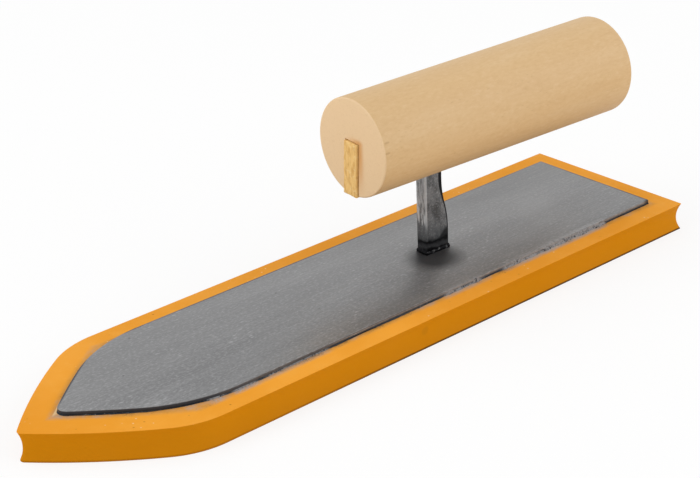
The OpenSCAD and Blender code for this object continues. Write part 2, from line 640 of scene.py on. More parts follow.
@dataclass(frozen=True)
class RubberFinish:
    """Matte orange rubber, a little mottled, with pits, adhesive smeared beside the plate, and painted
    shade on its sides and along their bottom edge.
    """

    body: Colour = (0.845, 0.355, 0.038)
    # The two side colours are darker copies of the rubber's colour, painted shade for its side faces;
    # the second, darker one lies at the bottom.
    edge: Colour = (0.620, 0.233, 0.000)
    side_shade_low: Colour = (0.560, 0.206, 0.000)
    warm: Colour = (0.750, 0.285, 0.018)
    pale: Colour = (0.850, 0.400, 0.065)
    pit: Colour = (0.220, 0.095, 0.010)
    chip: Colour = (0.880, 0.660, 0.380)
    smear: Colour = (0.400, 0.365, 0.350)
    dirt: Colour = (0.120, 0.085, 0.050)
    # Near-black, painted shade for a line along the bottom edge of the sides.
    bottom_shade: Colour = (0.050, 0.020, 0.003)
    grime: Colour = (0.330, 0.215, 0.110)
    smear_out: Span = (3.0 * MM, 0.2 * MM)
    tip_x: Span = (-100.0 * MM, -124.0 * MM)
    flake_x: Span = (-109.0 * MM, -111.0 * MM)
    flake_y: Span = (0.0, 1.5 * MM)
    flake_out: Span = (1.0 * MM, 0.6 * MM)
    bottom_shade_x: Span = (-80.0 * MM, 20.0 * MM)
    bottom_shade_z: Span = (0.8 * MM, 0.3 * MM)
    spot_place: Vector = field(default_factory=lambda: Vector((0.0024, -0.0342, 0.0059)))
    spot_r: Span = (2.0 * MM, 1.0 * MM)
    bump: float = 0.07 * MM

    def material(self, plate: PointedOutline, top: float, smears: Smears) -> Material:
        """Builds the material.

        Args:
            plate: Outline of the plate, which the smears follow.
            top: Height of the pad's top face.
            smears: Where the adhesive was wiped over the edge.

        Returns:
            The material.
        """
        graph = Graph("orange_rubber")
        x, y, z = graph.axes()
        mottle = graph.cloud(28.0, 4.0).ramp(0.35, 0.68)
        bloom = graph.cloud(170.0, 5.0, 0.65).ramp(0.46, 0.72)
        pits = graph.dots(260.0).ramp(0.12, 0.06) * graph.cloud(60.0, 2.0).ramp(0.52, 0.62)
        flecks = graph.cloud(1700.0, 4.0, 0.7)
        patch = graph.cloud(75.0, 5.0, 0.65)
        grain = graph.cloud(1500.0, 3.0, 0.6)
        on_top = z.ramp(top - 0.2 * MM, top - 0.05 * MM)
        # Painted shade for the side faces, darkest at the bottom.
        side = graph.layers(self.side_shade_low, (z.ramp(0.0, top), self.edge))
        beyond = plate.edge_distance(graph)
        near = beyond.ramp(*self.smear_out) * on_top
        spread = smears.shade(graph, True) * 1.3 + patch.ramp(0.48, 0.64) * 0.7
        pale = (near * spread * flecks.ramp(0.32, 0.54)).least(1.0)
        dark = near ** 1.6 * patch.ramp(0.52, 0.38) * flecks.ramp(0.42, 0.58)
        chips = graph.dots(420.0).ramp(0.16, 0.08) * graph.cloud(85.0, 2.0).ramp(0.56, 0.64) * on_top
        flake = beyond.ramp(*self.flake_out) * x.ramp(*self.flake_x) * y.ramp(*self.flake_y) * on_top
        from_spot = graph.node("ShaderNodeVectorMath", {"operation": "DISTANCE"},
                               {0: graph.place, 1: self.spot_place}).out("Value")
        # Painted shade, not wear: a broken near-black line along the bottom edge of the sides, where the
        # pad meets the floor, stronger towards +X.
        worn = z.ramp(*self.bottom_shade_z) * (x.ramp(*self.bottom_shade_x) * 0.65 + 0.3) * flecks.ramp(0.15, 0.45)
        colour = graph.layers(
            self.body,
            (mottle * 0.5, self.warm),
            (bloom * 0.3, self.pale),
            (pits * 0.5, self.pit),
            # Painted shade: the side faces take the darker side colours.
            ((1.0 - on_top) * 0.92, side),
            (x.ramp(*self.tip_x) * on_top * 0.6, self.warm),
            (near * (0.20 + 0.35 * patch), self.grime),
            (pale * 0.9, self.smear),
            (dark * 0.8, self.dirt),
            ((flake * 0.7).most(chips * 0.6), self.chip),
            (from_spot.ramp(*self.spot_r) * 0.16, self.pit),
            # Painted shade along the bottom edge of the sides.
            (worn, self.bottom_shade),
        )
        rough = 0.50 + 0.12 * mottle + 0.10 * grain
        graph.set(Base_Color=colour, Roughness=rough, Specular_IOR_Level=0.04)
        graph.bump(grain * 0.5 + graph.cloud(260.0, 4.0) * 0.5 - pits * 0.6 + pale * 0.8, self.bump)
        return graph.owner


@dataclass(frozen=True)
class BondFinish:
    """Dark contact adhesive, greyed where it was wiped over the plate's edge."""

    body: Colour = (0.005, 0.013, 0.022)
    brown: Colour = (0.026, 0.029, 0.033)
    wiped: Colour = (0.285, 0.284, 0.290)
    bump: float = 0.18 * MM

    def material(self, smears: Smears) -> Material:
        """Builds the material.

        Args:
            smears: Where the adhesive was wiped over the edge.

        Returns:
            The material.
        """
        graph = Graph("adhesive")
        tone = graph.cloud(90.0, 5.0, 0.6).ramp(0.42, 0.66)
        flecks = graph.cloud(900.0, 4.0, 0.7)
        wiped = (smears.shade(graph, True) * 1.8).least(1.0) * flecks.ramp(0.34, 0.54)
        dust = flecks.ramp(0.56, 0.70) * graph.cloud(35.0, 2.0).ramp(0.46, 0.60)
        colour = graph.layers(self.body, (tone, self.brown), (wiped.most(dust * 0.7), self.wiped))
        graph.set(Base_Color=colour, Roughness=0.45 + 0.3 * wiped, Specular_IOR_Level=0.2)
        graph.bump(graph.cloud(700.0, 4.0, 0.6) + flecks * 0.6, self.bump)
        return graph.owner


@dataclass(frozen=True)
class PlateFinish:
    """Rolled steel sheet, finely brushed along its length, with grain and specks, soot and a painted
    reflection of the neck round its foot, painted dark rims, and painted shade on its side face.
    """

    steel: Colour = (0.206, 0.207, 0.210)
    dull: Colour = (0.158, 0.159, 0.162)
    bright: Colour = (0.320, 0.321, 0.324)
    glint: Colour = (0.430, 0.430, 0.434)
    # Dark grey for specks, and for soot with a painted reflection of the neck round its foot.
    soot_and_reflection: Colour = (0.035, 0.035, 0.037)
    # Near-black teal, painted shade for the plate's side face.
    side_shade_tone: Colour = (0.004, 0.020, 0.042)
    # Dark grey for a painted dark reflection in the rounded top edge along the far side and the back.
    rim_reflection_tone: Colour = (0.030, 0.032, 0.036)
    wiped: Colour = (0.300, 0.300, 0.308)
    reflection_shift: Vector = field(default_factory=lambda: Vector((-0.0043, -0.0054, 0.0)))
    soot_and_reflection_r: Span = (13.2 * MM, 3.5 * MM)
    rim_in: Span = (-0.9 * MM, -0.36 * MM)
    far_y: Span = (0.0, 6.0 * MM)
    back_in: Span = (3.0 * MM, 1.0 * MM)
    line_x: Span = (30.0 * MM, 10.0 * MM)
    shade_in_lines_x: Span = (-36.0 * MM, -24.0 * MM)
    paler_x: Span = (-85.0 * MM, -60.0 * MM)
    wipe_in: Span = (-2.4 * MM, -0.2 * MM)
    bump: float = 0.010 * MM

    def material(self, plan: PointedOutline, foot: Vector, top: float, smears: Smears) -> Material:
        """Builds the material.

        Args:
            plan: The plate's outline.
            foot: Middle of the neck's foot, round which the sheet is darkened by soot and by a painted
                reflection of the neck.
            top: Height of the plate's top face.
            smears: Where the adhesive was wiped over the edge.

        Returns:
            The material.
        """
        graph = Graph("plate_steel")
        x, y, z = graph.axes()
        hair = graph.grain(60.0, 2600.0, 400.0, 5.0, 0.7)
        band = graph.grain(14.0, 150.0, 60.0, 4.0, 0.6)
        stain = graph.grain(18.2, 26.0, 26.0, 5.0, 0.65)
        grain = graph.grain(800.0, 1500.0, 1200.0, 2.0, 0.6)
        scatter = graph.cloud(55.0, 2.0)
        glints = graph.dots(1.0, graph.stretched(230.0, 560.0, 300.0)).ramp(0.24, 0.10)
        specks = graph.dots(170.0).ramp(0.09, 0.04) * scatter.ramp(0.50, 0.40)
        # Soot round the neck's foot together with a painted reflection of the neck: the dark patch is
        # centred off the foot, towards the camera.
        middle = foot + self.reflection_shift
        away = apart(x - middle.x, y - middle.y)
        soot_and_reflection = (away.ramp(*self.soot_and_reflection_r) * (0.95 + 0.3 * stain)).least(1.0)
        inside = plan.edge_distance(graph)
        far_side = y.ramp(*self.far_y).most((plan.back - x).ramp(*self.back_in))
        below = top - z
        # Painted shade on the plate's side face: all of it below the top towards the tip; further back
        # only a thin line under the top, ending at x = 10 to 30 mm, and the lower part.
        top_line = below.ramp(0.05 * MM, 0.15 * MM) * below.ramp(0.50 * MM, 0.35 * MM)
        lined = (top_line * x.ramp(*self.line_x)).most(below.ramp(0.60 * MM, 0.85 * MM))
        shade_in_lines = x.ramp(*self.shade_in_lines_x)
        side = below.ramp(0.05 * MM, 0.25 * MM) * (1.0 - shade_in_lines) + lined * shade_in_lines
        streaks = graph.grain(900.0, 420.0, 600.0, 4.0, 0.7).ramp(0.36, 0.58)
        wiped = inside.ramp(*self.wipe_in) * smears.shade(graph) * streaks
        colour = graph.layers(
            self.steel,
            (band.ramp(0.36, 0.64) * 0.50, self.dull),
            (grain.ramp(0.48, 0.72) * 0.62, self.bright),
            (grain.ramp(0.50, 0.28) * 0.65, self.dull),
            (hair.ramp(0.50, 0.78) * 0.70, self.bright),
            (hair.ramp(0.46, 0.24) * 0.60, self.dull),
            (stain.ramp(0.54, 0.74) * 0.25, self.bright),
            (stain.ramp(0.46, 0.28) * 0.30, self.dull),
            (glints * scatter.ramp(0.50, 0.62) * 0.45, self.glint),
            (specks * 0.6, self.soot_and_reflection),
            # Soot and the painted reflection of the neck.
            (soot_and_reflection, self.soot_and_reflection),
            # Painted dark reflection just inside the far and back edges.
            (inside.ramp(*self.rim_in) * far_side * stain.ramp(0.30, 0.55), self.rim_reflection_tone),
            # Painted shade on the side face, weaker behind x = -60 mm.
            (side * (0.95 - 0.35 * x.ramp(*self.paler_x)), self.side_shade_tone),
            (wiped * 0.8, self.wiped),
        )
        rough = 0.29 + 0.10 * stain + 0.10 * grain + 0.15 * soot_and_reflection
        metal = 0.60 - 0.2 * soot_and_reflection - 0.4 * wiped - 0.60 * below.ramp(0.1 * MM, 0.25 * MM)
        graph.set(Base_Color=colour, Metallic=metal, Roughness=rough, Anisotropic=0.3)
        graph.bump(hair * 0.5 + stain * 0.3 + grain * 0.8 + wiped * 4.0, self.bump)
        return graph.owner


@dataclass(frozen=True)
class ForgedFinish:
    """Forged steel post: grey scale, a front face ground bright, a painted highlight on its near front
    corner, painted shade along its back edge, and a burnt foot.
    """

    scale: Colour = (0.088, 0.090, 0.092)
    worn: Colour = (0.192, 0.195, 0.200)
    # Bright grey for ground metal, and for the painted highlight on the near front corner.
    ground: Colour = (0.680, 0.690, 0.700)
    burnt: Colour = (0.055, 0.055, 0.058)
    # Near-black for specks and charring, and for the painted shade along the rear edge.
    black: Colour = (0.004, 0.004, 0.005)
    dull_h: Span = (13.0 * MM, 4.0 * MM)
    front_in: Span = (0.45 * MM, 0.1 * MM)
    filed_h: Span = (10.5 * MM, 13.0 * MM)
    bright_h: Span = (24.0 * MM, 13.0 * MM)
    highlight_in: Span = (0.75 * MM, 0.2 * MM)
    highlight_y: Span = (-1.6 * MM, -2.2 * MM)
    highlight_h: Span = (6.0 * MM, 14.0 * MM)
    back_in: Span = (0.8 * MM, 0.4 * MM)
    rear_shade_h: Span = (14.0 * MM, 26.0 * MM)
    burnt_h: float = 4.4 * MM
    line_w: float = 1.3 * MM
    base_h: Span = (2.4 * MM, 1.2 * MM)
    bump: float = 0.12 * MM

    def material(self, turn: Turn, front: float, foot: float, rear: Callable[[Sock], Sock]) -> Material:
        """Builds the material.

        Args:
            turn: Turn of the neck.
            front: Place of the post's front face along X.
            foot: Height of the post's foot.
            rear: Place of the post's rear edge along X, from the height.

        Returns:
            The material.
        """
        graph = Graph("forged_steel", turn)
        x, y, z = graph.axes()
        up = z - foot
        behind = x - front
        mottle = graph.grain(260.0, 260.0, 130.0, 5.0, 0.65)
        streak = graph.grain(1300.0, 1300.0, 220.0, 4.0, 0.65)
        fine = graph.cloud(1800.0, 4.0, 0.7)
        ragged = up + 5.0 * MM * (mottle - 0.5) + 5.0 * MM * (streak - 0.5)
        filed = behind.ramp(*self.front_in) * ragged.ramp(*self.filed_h)
        low_bright = up.ramp(*self.bright_h) * 0.55 + 0.30
        # Painted highlight: the ground colour laid on the rounded corner between the front face and the
        # near side, above the foot.
        corner = behind.ramp(*self.highlight_in) * y.ramp(*self.highlight_y) * up.ramp(*self.highlight_h)
        before_rear = rear(z) - x
        # Painted shade: near-black along the post's rear edge, wider higher up.
        rear_edge = (before_rear - 1.0 * MM * up.ramp(*self.rear_shade_h)).ramp(*self.back_in)
        arch = graph.cloud(210.0, 2.0, 0.5)
        wavy = up + 4.0 * MM * (arch - 0.5) + 1.2 * MM * (mottle - 0.5)
        above = wavy - self.burnt_h
        burnt = above.ramp(1.2 * MM, -0.5 * MM)
        rise = 3.0 * MM * before_rear.ramp(5.0 * MM, 0.5 * MM)
        fade = (above - rise).ramp(2.2 * MM, -0.4 * MM) * wavy.ramp(2.6 * MM, self.burnt_h)
        line = abs(above).ramp(self.line_w, 0.1 * self.line_w)
        charred = (fade * 0.85).most(line * 0.95).most(wavy.ramp(*self.base_h) * 0.95)
        colour = graph.layers(
            self.scale,
            (mottle.ramp(0.34, 0.66), self.worn),
            (fine.ramp(0.50, 0.75) * 0.35, self.ground),
            (fine.ramp(0.46, 0.28) * 0.35, self.black),
            (up.ramp(*self.dull_h) * 0.45, self.scale),
            (filed * low_bright * streak.ramp(0.34, 0.60), self.ground),
            # Painted highlight on the near front corner.
            (corner * 0.55, self.ground),
            # Painted shade along the rear edge.
            (rear_edge, self.black),
            (burnt * (0.78 + 0.22 * fine.ramp(0.62, 0.40)), self.burnt),
            (charred, self.black),
        )
        rough = 0.40 + 0.22 * mottle + 0.14 * burnt - 0.08 * filed
        graph.set(Base_Color=colour, Metallic=0.78 + 0.2 * burnt, Roughness=rough)
        graph.bump(mottle * 0.7 + streak * 0.4 + fine * 0.3, self.bump)
        return graph.owner


@dataclass(frozen=True)
class WeldFinish:
    """Heat-blackened weld metal with glints on its ripples."""

    body: Colour = (0.005, 0.005, 0.006)
    glint: Colour = (0.240, 0.240, 0.240)
    bump: float = 0.25 * MM

    def material(self) -> Material:
        """Builds the material.

        Returns:
            The material.
        """
        graph = Graph("weld_metal")
        ripple = graph.cloud(650.0, 4.0, 0.6)
        colour = graph.layers(self.body, (ripple.ramp(0.56, 0.76) * 0.7, self.glint))
        graph.set(Base_Color=colour, Metallic=0.95, Roughness=0.34 + 0.3 * ripple)
        graph.bump(ripple, self.bump)
        return graph.owner


@dataclass(frozen=True)
class TurnedWoodFinish:
    """Plain turned beech: faint rings, short dark flecks along the grain, paler end grain, and a painted
    shadow of the filler strip on its front end.
    """

    body: Colour = (0.640, 0.428, 0.212)
    late: Colour = (0.556, 0.344, 0.150)
    pale: Colour = (0.685, 0.496, 0.284)
    fleck: Colour = (0.400, 0.225, 0.085)
    end_tone: Colour = (0.825, 0.605, 0.372)
    # Orange-brown, the painted shadow of the filler strip on the front end face.
    strip_shadow: Colour = (0.640, 0.300, 0.075)
    ring_gap: float = 2.6 * MM
    ring_sway: float = 3.0 * MM
    end_in: Span = (0.5 * MM, 0.1 * MM)
    strip_shadow_out: Span = (3.0 * MM, 0.3 * MM)
    strip_shadow_fade: Span = (20.0 * MM, 3.0 * MM)
    marks: tuple[Span, ...] = ((1.5 * MM, 64.9 * MM), (1.0 * MM, 61.6 * MM))
    mark_l: float = 1.3 * MM
    mark_w: float = 0.45 * MM
    pith: Vector = field(default_factory=lambda: Vector((0.0, 0.045, 0.020)))
    bump: float = 0.05 * MM

    def material(self, turn: Turn, front: float, back: float, slot: Vector) -> Material:
        """Builds the material.

        Args:
            turn: Turn of the handle.
            front: Place of the handle's front end along X.
            back: Place of its back end.
            slot: Top corner of the slot's near side, beside which the strip's painted shadow lies on the
                end face.

        Returns:
            The material.
        """
        graph = Graph("pale_wood", turn)
        x, y, z = graph.axes()
        behind = x - front
        wave = graph.grain(9.0, 60.0, 60.0, 3.0, 0.5)
        across = apart(y - self.pith.y, z - self.pith.z)
        turns = (across + self.ring_sway * (wave - 0.5)) / self.ring_gap
        ring = graph.math("PINGPONG", turns, 0.5) * 2.0
        tone = graph.grain(22.0, 150.0, 150.0, 4.0, 0.6)
        mottle = graph.grain(420.0, 1000.0, 1000.0, 4.0, 0.70)
        fibre = graph.grain(90.0, 2400.0, 2400.0, 4.0, 0.6)
        pores = graph.grain(500.0, 1700.0, 1700.0, 3.0, 0.6)
        front_end = behind.ramp(*self.end_in)
        ends = front_end.most((back - x).ramp(*self.end_in))
        sparse = graph.grain(40.0, 120.0, 120.0, 2.0, 0.5).ramp(0.48, 0.62)
        flecks = graph.dots(1.0, graph.stretched(260.0, 900.0, 900.0)).ramp(0.20, 0.10) * sparse
        # Painted shadow: shade cast by the proud strip on the front end face, beside its near side and
        # above it, fading downwards.
        from_slot = apart((slot.y - y).most(0.0), (z - slot.z).most(0.0) * 1.5)
        lower = (slot.z - z).ramp(*self.strip_shadow_fade) * y.ramp(-slot.y, slot.y)
        marks = []
        for along, height in self.marks:
            off = ((behind - along) / self.mark_l) ** 2.0 + ((z - height) / self.mark_w) ** 2.0
            mark = off.ramp(1.0, 0.2) * y.ramp(0.0, -1.0 * MM) * (1.0 - front_end)
            marks.append((mark * 0.42, self.fleck))
        colour = graph.layers(
            self.body,
            (ring.ramp(0.45, 1.0) * 0.10, self.late),
            (tone.ramp(0.46, 0.76) * 0.32, self.pale),
            (tone.ramp(0.48, 0.26) * 0.22, self.late),
            (mottle.ramp(0.46, 0.70) * 0.36, self.late),
            (mottle.ramp(0.48, 0.28) * 0.40, self.pale),
            (flecks * (1.0 - 0.7 * ends) * 0.22, self.fleck),
            (ends * 0.8, self.end_tone),
            # Painted shadow of the strip on the front end face.
            (front_end * from_slot.ramp(*self.strip_shadow_out) * lower * 0.85, self.strip_shadow),
            (ends * pores.ramp(0.52, 0.75) * 0.22, self.late),
            (fibre.ramp(0.55, 0.80) * 0.14, self.fleck),
            *marks,
        )
        graph.set(Base_Color=colour, Roughness=0.50 + 0.12 * fibre, Specular_IOR_Level=0.5)
        graph.bump(fibre * 0.6 - flecks * 0.4 + pores * 0.3, self.bump)
        return graph.owner


@dataclass(frozen=True)
class StripWoodFinish:
    """Rough sawn softwood, yellower than the handle, torn at its end."""

    body: Colour = (0.850, 0.555, 0.205)
    late: Colour = (0.600, 0.320, 0.080)
    pale: Colour = (0.900, 0.720, 0.400)
    bump: float = 0.22 * MM

    def material(self, turn: Turn) -> Material:
        """Builds the material.

        Args:
            turn: Turn of the strip.

        Returns:
            The material.
        """
        graph = Graph("strip_wood", turn)
        grain = graph.grain(40.0, 900.0, 240.0, 4.0, 0.6)
        torn = graph.cloud(800.0, 5.0, 0.65)
        colour = graph.layers(
            self.body,
            (grain.ramp(0.42, 0.70) * 0.8, self.late),
            (torn.ramp(0.52, 0.72) * 0.55, self.pale),
            (torn.ramp(0.42, 0.30) * 0.5, self.late),
        )
        graph.set(Base_Color=colour, Roughness=0.68, Specular_IOR_Level=0.3)
        graph.bump(torn * 0.8 + grain * 0.4, self.bump)
        return graph.owner


@dataclass
class Sole:
    """Rubber pad, adhesive and steel plate, one on another."""

    nose: float = 50.0 * MM
    shoulder_r: float = 30.0 * MM
    nose_r: float = 195.0 * MM
    tip_r: float = 1.8 * MM
    cove_d: float = 1.3 * MM
    lip_r: float = 0.25 * MM
    plate_nose: float = 48.0 * MM
    plate_shoulder_r: float = 50.0 * MM
    plate_nose_r: float = 300.0 * MM
    plate_tip_r: float = 3.2 * MM
    plate_edge_r: float = 0.2 * MM
    bead: float = 0.3 * MM
    bead_waves: tuple[Span, ...] = ((0.9, 160.0), (0.6, 620.0))
    bead_steps: int = 150
    bead_rings: int = 3
    wipe: float = 0.7 * MM
    wipe_waves: tuple[Span, ...] = ((0.9, 260.0), (0.7, 900.0))
    wipe_cover: float = 1.03
    arc_steps: int = 14
    tip_steps: int = 5
    cove_steps: int = 14
    smears: Smears = Smears()
    rubber: RubberFinish = RubberFinish()
    adhesive: BondFinish = BondFinish()
    steel: PlateFinish = PlateFinish()

    def __post_init__(self) -> None:
        """Reads the sizes that the solids set."""
        low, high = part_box("rubber_pad")
        self.top = high.z
        self.pad = PointedOutline(low.x, high.x, high.y - low.y, self.nose, self.shoulder_r,
                                  self.nose_r, self.tip_r)
        low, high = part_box("backing_plate")
        self.plate_low, self.plate_top = low.z, high.z
        self.plate = PointedOutline(low.x, high.x, high.y - low.y, self.plate_nose,
                                    self.plate_shoulder_r, self.plate_nose_r, self.plate_tip_r)

    def _run_round(self, desk: Desk, plan: PointedOutline, height: float) -> None:
        """Sweeps what is selected round a shoulder, along the nose and round half the tip.

        Args:
            desk: The mesh in edit mode.
            plan: The outline to follow.
            height: Height of the arcs' centres.
        """
        up = Axis.Z.by(height)
        nose_turn = plan.tip_turn - plan.shoulder_turn
        desk.sweep(plan.shoulder_centre + up, Axis.Z, plan.shoulder_turn, self.arc_steps)
        desk.sweep(plan.nose_centre + up, Axis.Z, nose_turn, self.arc_steps)
        desk.sweep(plan.tip_centre + up, Axis.Z, math.pi / 2 - plan.tip_turn, self.tip_steps)

    def build_pad(self) -> Piece:
        """Sweeps the hollow edge round one half of the pad, mirrors it and closes top and sole.

        Returns:
            The pad.
        """
        half_w, half_t = self.pad.width / 2, self.top / 2
        cove_r = (half_t**2 + self.cove_d**2) / (2 * self.cove_d)
        cove_y = half_w + cove_r - self.cove_d
        desk = Desk.at_point("rubber_pad", Vector((self.pad.back, half_w, self.top)))
        turn = 2 * math.asin(half_t / cove_r)
        desk.sweep(Vector((self.pad.back, cove_y, half_t)), Axis.X, turn, self.cove_steps)
        desk.take_all()
        desk.move(lambda p: Vector((p.x - (half_w - p.y), p.y, p.z)))
        desk.pull()
        desk.flatten(Axis.Y, 0.0)
        desk.pick(lambda p: p.y > half_w / 2)
        desk.pull()
        desk.flatten(Axis.X, self.pad.shoulder_centre.x)
        self._run_round(desk, self.pad, half_t)
        desk.close()
        desk.mirror()
        desk.take_all()
        bpy.ops.mesh.fill_holes(sides=0)
        desk.close()
        round_edges(desk.piece, self.lip_r, 2, 35.0)
        return smooth_below(desk.piece, 35.0)

    def _outline_face(self, name: str, height: float, side_steps: int) -> Desk:
        """Draws one half of the plate's outline, mirrors it and fills it with a face.

        Args:
            name: Name of the piece.
            height: Height of the face.
            side_steps: Edges along the straight side; half the back has a sixth of them.

        Returns:
            The desk, in edit mode, with everything selected.
        """
        plan = self.plate
        desk = Desk.at_point(name, Vector((plan.back, 0.0, height)))
        desk.draw(Axis.Y.by(plan.width / 2), max(1, side_steps // 6))
        desk.draw(Axis.X.by(plan.shoulder_centre.x - plan.back), side_steps)
        self._run_round(desk, plan, height)
        desk.mirror()
        desk.face()
        return desk

    def build_plate(self) -> Piece:
        """Raises the plate from its outline and takes its sharp edges off.

        Returns:
            The plate.
        """
        desk = self._outline_face("backing_plate", self.plate_low, 1)
        desk.pull(Axis.Z.by(self.plate_top - self.plate_low))
        desk.close()
        round_edges(desk.piece, self.plate_edge_r, 2, 40.0)
        return smooth_below(desk.piece, 35.0)

    def build_bond(self) -> Piece:
        """Raises the adhesive film in rings and lets it bulge unevenly past the plate's edge.

        Returns:
            The film.
        """
        film = self.plate_low - self.top
        cover = self.wipe_cover * (self.plate_top - self.plate_low)
        rise = film / self.bead_rings
        desk = self._outline_face("bond_layer", self.top, self.bead_steps)
        for _ in range(self.bead_rings):
            desk.pull(Axis.Z.by(rise))
        desk.take_all()

        def bulge(point: Vector) -> Vector:
            """Pushes the bead outwards, and up where it was wiped over the plate's edge.

            Args:
                point: One point of it.

            Returns:
                The point's new place.
            """
            ring = round((point.z - self.top) / rise)
            flat = Vector((point.x, point.y, 0.0))
            wiped = self.smears.depth(flat) * max(0.0, 0.45 + lumps(flat, self.wipe_waves))
            reach = self.bead * max(0.15, 0.5 + lumps(flat, self.bead_waves)) + self.wipe * wiped
            height = film + cover * min(1.0, wiped * 1.8)
            out, up = ((1.0, 0.0), (0.7, 0.4 * height), (0.06, 0.97 * height), (0.02, film))[ring]
            return flat + self.plate.outward(flat) * (reach * out) + Axis.Z.by(self.top + up)

        desk.move(bulge)
        desk.close()
        return smooth_below(desk.piece, 50.0)

    def build(self, foot: Vector) -> None:
        """Builds and dresses the three layers.

        Args:
            foot: Middle of the neck's foot on the plate.
        """
        rubber = self.rubber.material(self.plate, self.top, self.smears)
        hand_over(self.build_pad(), "rubber_pad", rubber)
        hand_over(self.build_bond(), "bond_layer", self.adhesive.material(self.smears))
        steel = self.steel.material(self.plate, foot, self.plate_top, self.smears)
        hand_over(self.build_plate(), "backing_plate", steel)


@dataclass
class Shank:
    """Forged neck with its tang, and the weld round its foot, turned a little on the plate."""

    front: float = 33.7 * MM
    width: float = 5.0 * MM
    foot_l: float = 10.0 * MM
    top_l: float = 7.4 * MM
    foot_h: float = 7.5 * MM
    flare_h: float = 19.0 * MM
    post_top: float = 45.0 * MM
    tang_low: float = 43.5 * MM
    tang_w: float = 6.8 * MM
    tang_h: float = 7.0 * MM
    tang_l: float = 48.0 * MM
    edge_r: float = 0.35 * MM
    weld_leg: float = 0.5 * MM
    weld_inset: float = 0.9 * MM
    weld_corner_r: float = 0.2 * MM
    weld_step: float = 0.45 * MM
    weld_corner_steps: int = 4
    weld_waves: tuple[Span, ...] = ((1.0, 520.0), (0.5, 1500.0))
    weld_start: Span = (0.55, 0.0)
    weld_loops: tuple[Span, ...] = ((0.75, 0.5), (0.7, 1.1), (0.5, 1.7), (0.28, 2.1), (0.04, 2.4))
    bend_steps: int = 10
    angle: float = -2.3
    forged: ForgedFinish = ForgedFinish()
    weld: WeldFinish = WeldFinish()

    def __post_init__(self) -> None:
        """Reads the heights that the solids set and works out the turn."""
        low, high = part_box("neck")
        self.base, self.tang_top = low.z, high.z
        self.foot_middle = Vector((self.front + self.foot_l / 2, 0.0, self.base))
        self.turn = Turn(self.foot_middle, math.radians(self.angle))
        self.tang_end = self.front + self.top_l + self.tang_l
        self.slim = self.foot_l - self.top_l
        self.flare_low = self.base + self.foot_h
        self.flare_top = self.flare_low + self.flare_h

    def rear_edge(self, height: Sock) -> Sock:
        """Place of the post's rear edge along X at a height, both in metres, as a shader value."""
        return self.front + self.foot_l - self.slim * height.ramp(self.flare_low, self.flare_top)

    def build_neck(self) -> Piece:
        """Draws the post's side view, thickens it, rounds its edges and joins the tang to it.

        Returns:
            The neck.
        """
        bend_r = (self.flare_h**2 + self.slim**2) / (4 * self.slim)
        bend = math.asin(self.flare_h / 2 / bend_r)
        y = -self.width / 2
        desk = Desk.at_point("neck", Vector((self.front, y, self.base)))
        desk.draw(Axis.X.by(self.foot_l))
        desk.draw(Axis.Z.by(self.foot_h))
        low_centre = Vector((self.front + self.foot_l - bend_r, y, self.flare_low))
        desk.sweep(low_centre, Axis.Y, -bend, self.bend_steps)
        high_centre = Vector((self.front + self.top_l + bend_r, y, self.flare_top))
        desk.sweep(high_centre, Axis.Y, bend, self.bend_steps)
        desk.draw(Axis.Z.by(self.post_top - self.flare_top))
        desk.draw(Axis.X.by(-self.top_l))
        desk.face()
        desk.pull(Axis.Y.by(self.width))
        desk.close()
        round_edges(desk.piece, self.edge_r, 3, 40.0)
        half = self.tang_w / 2
        riser_high = Vector((self.front + self.top_l, half, self.tang_top))
        tang = block("tang", Vector((self.front, -half, self.tang_low)), riser_high)
        arm_low = Vector((self.front + self.top_l / 2, -half, self.tang_top - self.tang_h))
        combine(tang, block("arm", arm_low, Vector((self.tang_end, half, self.tang_top))), "UNION")
        combine(desk.piece, tang, "UNION")
        self.turn.apply(desk.piece)
        return smooth_below(desk.piece, 40.0)

    def build_weld(self) -> Piece:
        """Runs a narrow lumpy bead round the neck's foot.

        Returns:
            The weld bead.
        """
        half_l, half_w = self.foot_l / 2, self.width / 2
        middle = self.foot_middle
        corners = [middle + Vector((sx * half_l, sy * half_w, 0.0))
                   for sx, sy in ((-1, -1), (1, -1), (1, 1), (-1, 1))]
        desk = Desk.at_point("weld_bead", corners[0] - Axis.Y.by(self.weld_corner_r))
        for corner, following in zip(corners, corners[1:] + corners[:1]):
            run = following - corner
            desk.draw(run, round(run.length / self.weld_step))
            desk.sweep(following, Axis.Z, math.pi / 2, self.weld_corner_steps)
        desk.merge(SEAM_GAP)

        def shaped(out: float, up: float) -> Callable[[Vector], Vector]:
            """Gives the change that moves a loop of the bead to its reach and height."""

            def change(point: Vector) -> Vector:
                """Moves the bead outwards and up, by the lumps at each place.

                Args:
                    point: One point of it.

                Returns:
                    The point's new place.
                """
                base = Vector((min(max(point.x, corners[0].x), corners[2].x),
                               min(max(point.y, corners[0].y), corners[2].y), middle.z))
                away = Vector((point.x - base.x, point.y - base.y, 0.0)).normalized()
                ripple = lumps(base, self.weld_waves)
                reach = out * (1.0 + 0.55 * ripple) if out > 0 else out
                return base + self.weld_leg * (away * reach + Axis.Z.by(up * (1.0 + 0.5 * ripple)))

            return change

        desk.move(shaped(*self.weld_start))
        inner_loop = (-self.weld_inset / self.weld_leg, self.weld_loops[-1][1])
        for out, up in (*self.weld_loops, inner_loop):
            desk.pull()
            desk.move(shaped(out, up))
        desk.pull()
        desk.flatten(Axis.Z, middle.z)
        bpy.ops.mesh.select_all(action="DESELECT")
        bpy.ops.mesh.select_non_manifold()
        bpy.ops.mesh.bridge_edge_loops()
        desk.close()
        self.turn.apply(desk.piece)
        return smooth_below(desk.piece, 60.0)

    def build(self) -> None:
        """Builds and dresses the neck and its weld."""
        forged = self.forged.material(self.turn, self.front, self.base, self.rear_edge)
        hand_over(self.build_neck(), "neck", forged)
        hand_over(self.build_weld(), "weld_bead", self.weld.material())


